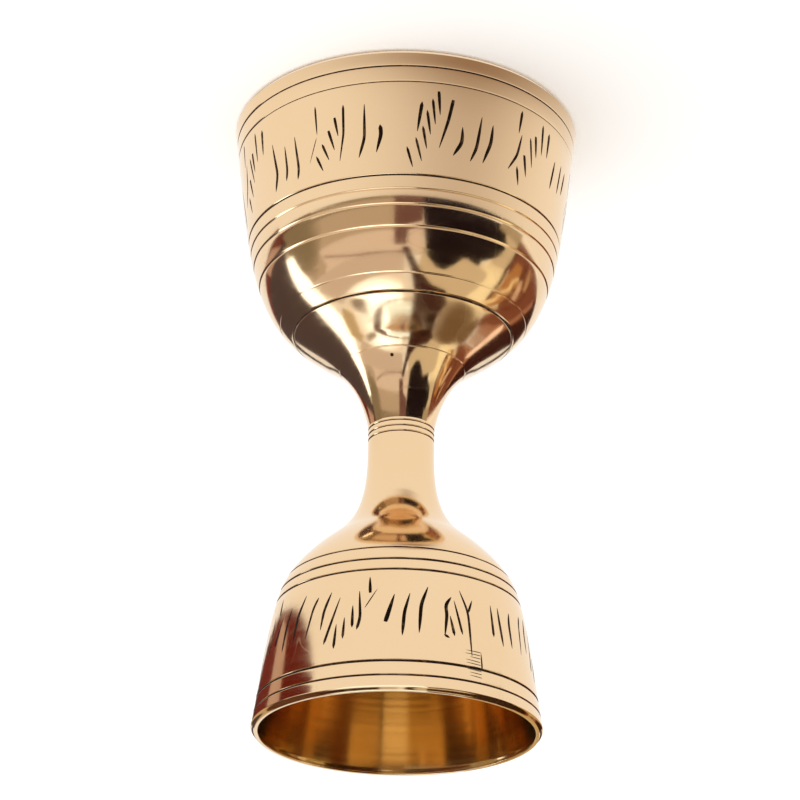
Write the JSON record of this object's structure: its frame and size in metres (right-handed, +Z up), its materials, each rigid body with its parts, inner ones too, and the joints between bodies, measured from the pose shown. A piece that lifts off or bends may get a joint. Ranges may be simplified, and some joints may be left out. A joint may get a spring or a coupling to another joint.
{
  "type": "bar jigger",
  "caption": "Double-ended brass bar jigger: a large and a small measuring cup joined mouth-outward by a slim waisted neck, with turned grooves.",
  "frame": {"origin": "centre of the large rim's face, on the surface the jigger stands on", "axes": "+Z up along the turning axis, from the large cup to the small cup; X and Y are any two square directions"},
  "size_m": [0.0546, 0.0546, 0.1],
  "materials": {
    "cup_brass": "polished outside, turned inside, dark patina in the cuts",
    "stud_brass": "as turned and threaded",
    "solder": "dull soft solder"
  },
  "bodies": {
    "root": {"large_cup": "cup_brass", "small_cup": "cup_brass", "joining_stud": "stud_brass", "solder_ring": "solder"}
  },
  "joints": []
}
